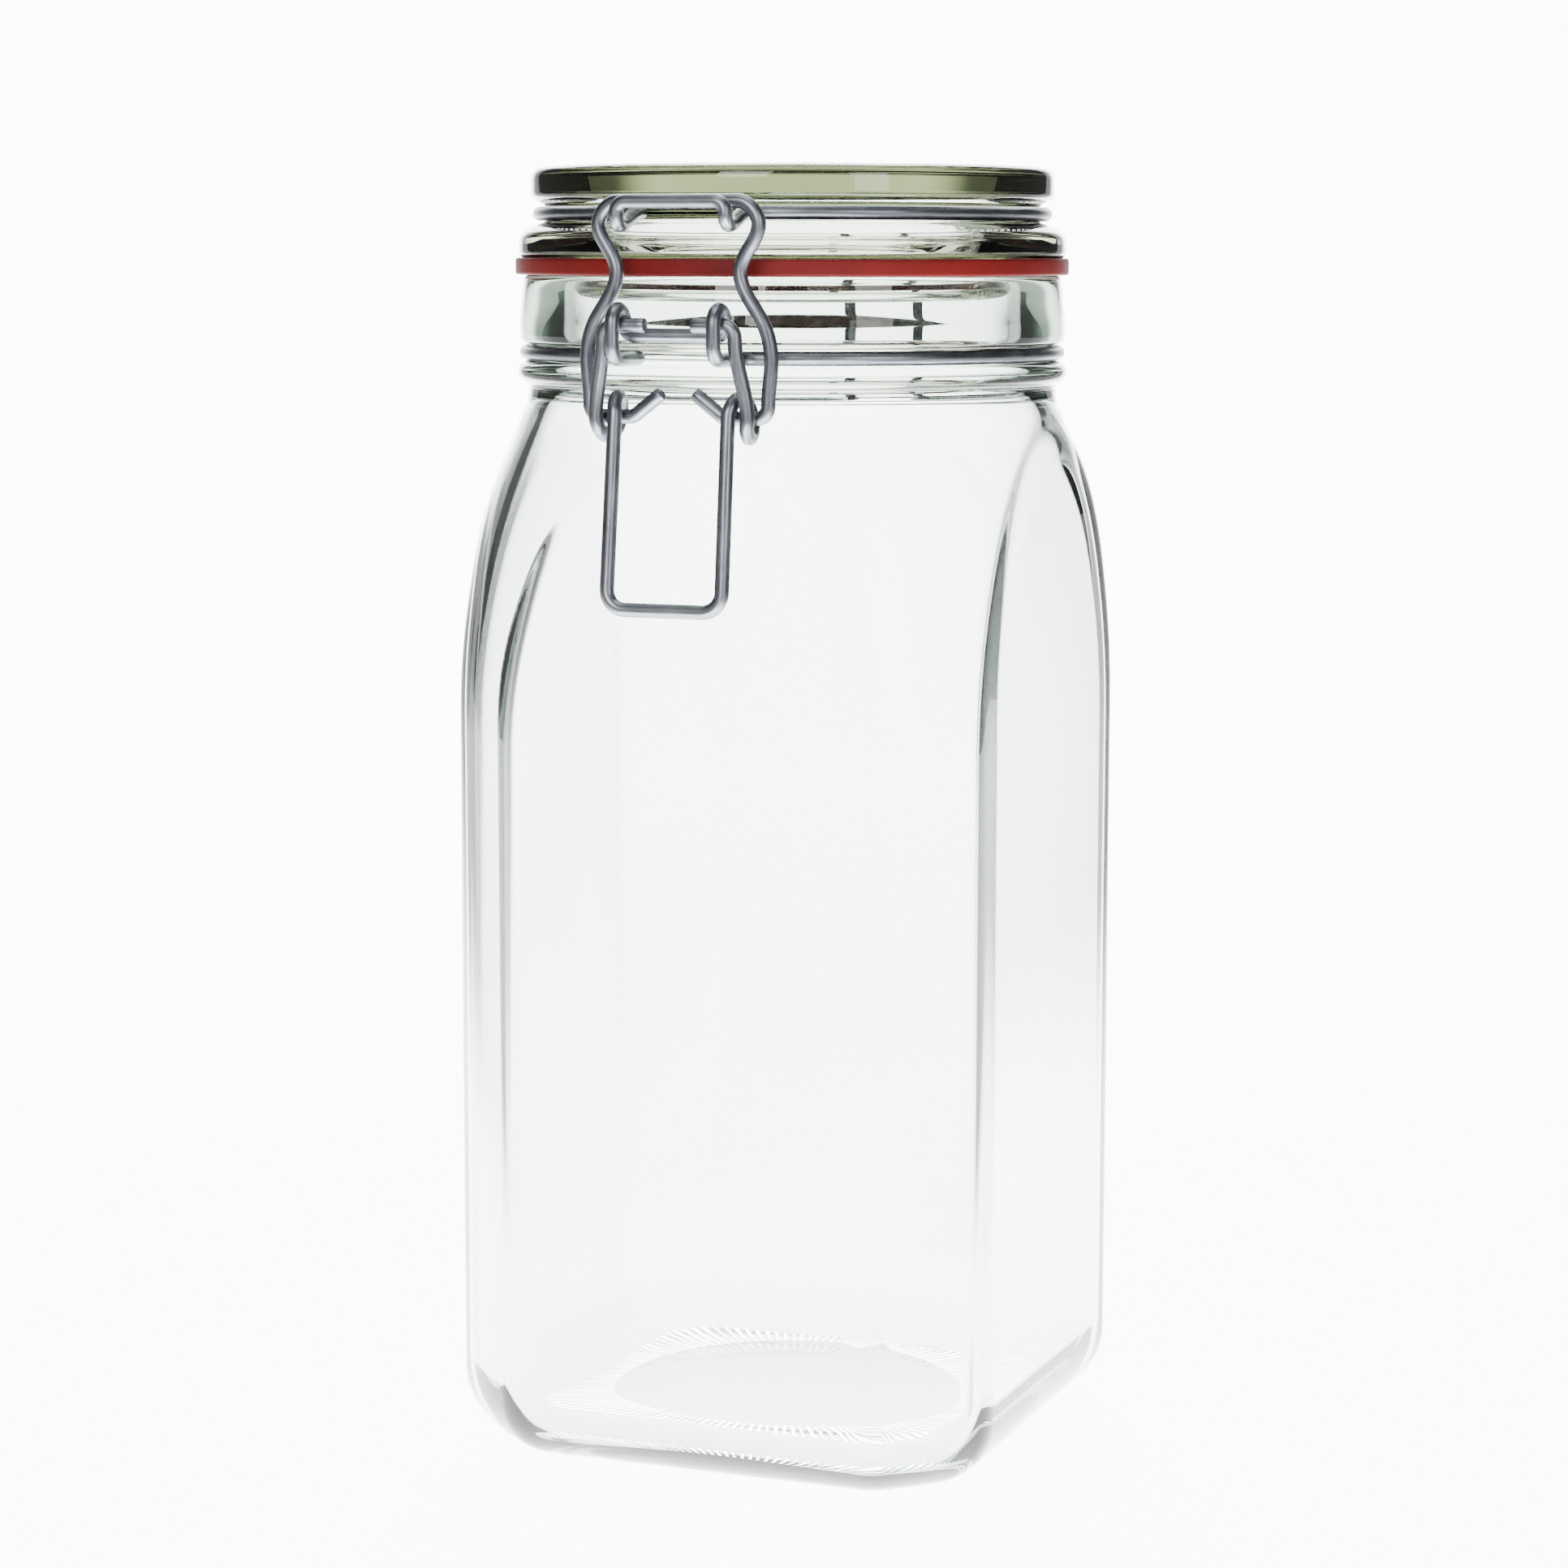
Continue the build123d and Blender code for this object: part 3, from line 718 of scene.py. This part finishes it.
# the neck wire's front eyes and, at REAR_X, its hinge eyes
EYE_X, EYE_R, EYE_TURN, EYE_FOOT, RISE = 8.9, 2.6, 1.7, 2.5, 4.0
REAR_X = 8.0
BAR_Z = 195.2
back_y, front_y, rise_y = PIVOT_Y + EYE_R, PIVOT_Y - EYE_R, HINGE_Y - EYE_R
front = onto_ring(NECK_WIRE_R, EYE_X, -1, NECK_WIRE_Z)
rear = onto_ring(NECK_WIRE_R, REAR_X, 1, NECK_WIRE_Z)
c45 = math.sqrt(0.5)
half = join(
    [(0, back_y, BAR_Z)],
    quarter(
        (EYE_TURN - EYE_X, back_y, BAR_Z),
        (-EYE_X, back_y, BAR_Z),
        (-EYE_X, back_y, BAR_Z + EYE_TURN),
    ),
    arc((-EYE_X, back_y, PIVOT_Z), (-EYE_X, PIVOT_Y, PIVOT_Z + EYE_R), (-EYE_X, front_y, PIVOT_Z)),
    quarter(
        (-EYE_X, front_y, NECK_WIRE_Z + EYE_FOOT),
        (-EYE_X, front_y, NECK_WIRE_Z),
        (-EYE_X, front_y + EYE_FOOT, NECK_WIRE_Z),
    ),
    front,
    ring_sweep(NECK_WIRE_R, front, rear, NECK_WIRE_Z),
    rear[::-1],
    quarter(
        (-REAR_X, rise_y - RISE, NECK_WIRE_Z),
        (-REAR_X, rise_y, NECK_WIRE_Z),
        (-REAR_X, rise_y, NECK_WIRE_Z + RISE),
    ),
    arc(
        (-REAR_X, rise_y, HINGE_Z),
        (-REAR_X, HINGE_Y, HINGE_Z + EYE_R),
        (-REAR_X, HINGE_Y + EYE_R, HINGE_Z),
    ),
    arc(
        (-REAR_X, HINGE_Y + EYE_R, HINGE_Z),
        (-REAR_X, HINGE_Y + EYE_R * c45, HINGE_Z - EYE_R * c45),
        (-REAR_X, HINGE_Y, HINGE_Z - EYE_R),
    ),
)
wire("neck_wire", both_sides(half), WIRE / 2, "jar", "neck_ring")

# lever: pin, arm, one turn of coil and the handle
ARM_X = 11.6
HANDLE_X, HANDLE_Y, HANDLE_Z = 10.2, -57.8, 150.6
drop_y, drop_z = COIL_Y - HANDLE_Y, COIL_Z - HANDLE_Z
lean = math.atan2(drop_y, drop_z) - math.asin(COIL_R / math.hypot(drop_y, drop_z))
coil_end = 2 * math.pi - lean
coil = []
for i in range(13):
    a = coil_end * i / 12
    x = -13.4 + 3.4 * i / 12
    coil.append((x, COIL_Y - COIL_R * math.cos(a), COIL_Z - COIL_R * math.sin(a)))
half = join(
    [(-4.1, PIVOT_Y, PIVOT_Z)],
    quarter(
        (2 - ARM_X, PIVOT_Y, PIVOT_Z),
        (-ARM_X, PIVOT_Y, PIVOT_Z),
        (-ARM_X, PIVOT_Y, PIVOT_Z - 2),
    ),
    smooth_curve([(-ARM_X, PIVOT_Y, PIVOT_Z - 2), coil[0]], (0, 0, -1), (0, 0, -1)),
    smooth_curve(coil, (0, 0, -1), (0, -math.sin(lean), -math.cos(lean)), 0.3),
    rounded_run([coil[-1], (-HANDLE_X, HANDLE_Y, HANDLE_Z), (0, HANDLE_Y, HANDLE_Z)], 3.3),
)
wire("lever_wire", both_sides(half[::-1]), WIRE / 2, "lever", "lever")

# bail: top bar, waist, feet in the lever's coils and the cut ends that turn up
BAIL_Y, BAIL_Z = -51.3, 216.95
half = join(
    [(0, BAIL_Y, BAIL_Z)],
    smooth_curve(
        [
            (-10.6, BAIL_Y, BAIL_Z),
            (-14.1, BAIL_Y, BAIL_Z - 3.2),
            (-12.7, BAIL_Y, BAIL_Z - 7.2),
            (-10.9, BAIL_Y, BAIL_Z - 11.2),
            (-11.8, BAIL_Y, BAIL_Z - 14.6),
            (-15.1, BAIL_Y, BAIL_Z - 20.0),
            (-16.3, COIL_Y, BAIL_Z - 25.5),
            (-15.8, COIL_Y, COIL_Z + 2.3),
        ],
        (-1, 0, 0),
        (0, 0, -1),
    ),
    rounded_run(
        [
            (-15.8, COIL_Y, COIL_Z + 2.3),
            (-15.8, COIL_Y, COIL_Z),
            (-8.0, COIL_Y, COIL_Z),
            (-2.9, COIL_Y, COIL_Z + 3.9),
        ],
        2.0,
    ),
)
wire("bail_wire", both_sides(half), WIRE / 2, "bail", "bail")

# ------------------------------------------------------------------ studio
GLOW, GLOW_SPREAD, GLOW_WIDTH = 12.0, 0.2, 0.155  # half-width in metres, growing with depth


def math_node(nodes, links, operation, first, *others):
    """A Math node on an output, with any more inputs given as numbers or outputs."""
    node = nodes.new("ShaderNodeMath")
    node.operation = operation
    links.new(first, node.inputs[0])
    for socket, value in zip(node.inputs[1:], others):
        if isinstance(value, float):
            socket.default_value = value
        else:
            links.new(value, socket)
    return node.outputs[0]


def backdrop_material(name):
    """Pale paper, lit from behind only about as wide as the shot, so glass keeps dark edges."""
    material, nodes, links, shader, _ = new_material(name)
    cloud = noise(nodes, links, object_coords(nodes), 2.2, 2.0)
    colour = ramp(nodes, links, cloud, [(0.3, (0.86, 0.86, 0.865)), (0.7, (0.88, 0.88, 0.882))])
    links.new(colour, shader.inputs["Base Color"])
    links.new(colour, shader.inputs["Emission Color"])
    apart = nodes.new("ShaderNodeSeparateXYZ")
    links.new(object_coords(nodes), apart.inputs[0])
    side = math_node(nodes, links, "ABSOLUTE", apart.outputs["X"])
    width = math_node(nodes, links, "MULTIPLY_ADD", apart.outputs["Y"], GLOW_SPREAD, GLOW_WIDTH)
    fall = nodes.new("ShaderNodeMapRange")
    fall.interpolation_type = "SMOOTHSTEP"
    fall.inputs["From Min"].default_value = 1.0
    fall.inputs["From Max"].default_value = 1.75
    fall.inputs["To Min"].default_value = GLOW
    fall.inputs["To Max"].default_value = 0.1
    links.new(math_node(nodes, links, "DIVIDE", side, width), fall.inputs["Value"])
    links.new(fall.outputs["Result"], shader.inputs["Emission Strength"])
    shader.inputs["Roughness"].default_value = 0.9
    return material


def sweep_backdrop():
    """A seamless pale sheet: level floor, then a wide curve up behind the jar."""
    section = [(-0.4, 0.0), (0.9, 0.0)]
    for a in np.linspace(0, math.pi / 2, 24)[1:]:
        section.append((0.9 + 0.7 * math.sin(a), 0.7 * (1 - math.cos(a))))
    section.append((1.6, 2.0))
    verts, faces = [], []
    for x in (-1.0, 1.0):
        verts += [(x, y, z) for y, z in section]
    n = len(section)
    for i in range(n - 1):
        faces.append((i, i + 1, n + i + 1, n + i))
    mesh = bpy.data.meshes.new("backdrop")
    mesh.from_pydata(verts, [], faces)
    for polygon in mesh.polygons:
        polygon.use_smooth = True
    mesh.materials.append(backdrop_material("backdrop_look"))
    sheet = bpy.data.objects.new("backdrop", mesh)
    bpy.context.scene.collection.objects.link(sheet)
    sheet.rotation_euler.z = math.radians(AZIMUTH)
    return sheet


def area_light(name, place, aim, size, power):
    """A soft light at place, facing aim, both in the frame turned with the shot."""
    data = bpy.data.lights.new(name, "AREA")
    data.shape = "RECTANGLE"
    data.size, data.size_y = size
    data.energy = power
    light = bpy.data.objects.new(name, data)
    bpy.context.scene.collection.objects.link(light)
    turn = Matrix.Rotation(math.radians(AZIMUTH), 3, "Z")
    place, aim = turn @ Vector(place), turn @ Vector(aim)
    light.location = place
    light.rotation_euler = (aim - place).to_track_quat("-Z", "Y").to_euler()


sweep_backdrop()

area_light("overhead", (0, -0.1, 1.4), (0, 0, 0.1), (0.9, 0.7), 7)
area_light("key", (-0.55, -1.4, 0.75), (0, 0, 0.12), (0.6, 0.9), 15)
area_light("fill", (0.8, -1.2, 0.5), (0, 0, 0.12), (0.4, 0.9), 6)

world = bpy.data.worlds.new("studio")
world.use_nodes = True
background = world.node_tree.nodes["Background"]
background.inputs["Color"].default_value = (0.96, 0.965, 1.0, 1)
background.inputs["Strength"].default_value = 0.12
bpy.context.scene.world = world

bpy.context.view_layer.update()
